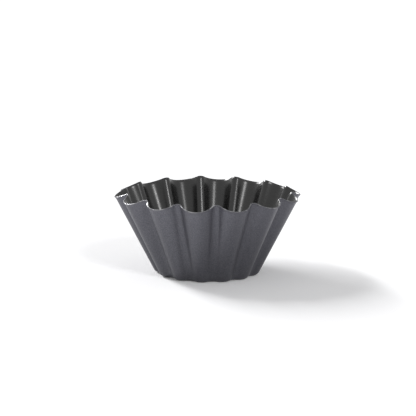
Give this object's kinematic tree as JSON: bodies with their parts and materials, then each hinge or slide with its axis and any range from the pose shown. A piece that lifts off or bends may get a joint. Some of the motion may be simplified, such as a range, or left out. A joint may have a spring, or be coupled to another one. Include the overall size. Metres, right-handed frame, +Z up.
{
  "type": "brioche mould",
  "caption": "Small deep fluted brioche mould with sloping scalloped walls, a wavy turned-out rim and a flat base, pressed from one sheet of coated steel.",
  "frame": {"origin": "centre of the flat base, on the surface that the mould stands on", "axes": "+Z up along the mould's axis, -Y through a rib, +X through a lobe"},
  "size_m": [0.08, 0.0782, 0.0358],
  "materials": {
    "coated_steel": "matt blue-grey lacquer outside, smoother near-black non-stick coating inside, bare steel on the cut edge"
  },
  "bodies": {
    "root": {"mould_shell": "coated_steel"}
  },
  "joints": []
}
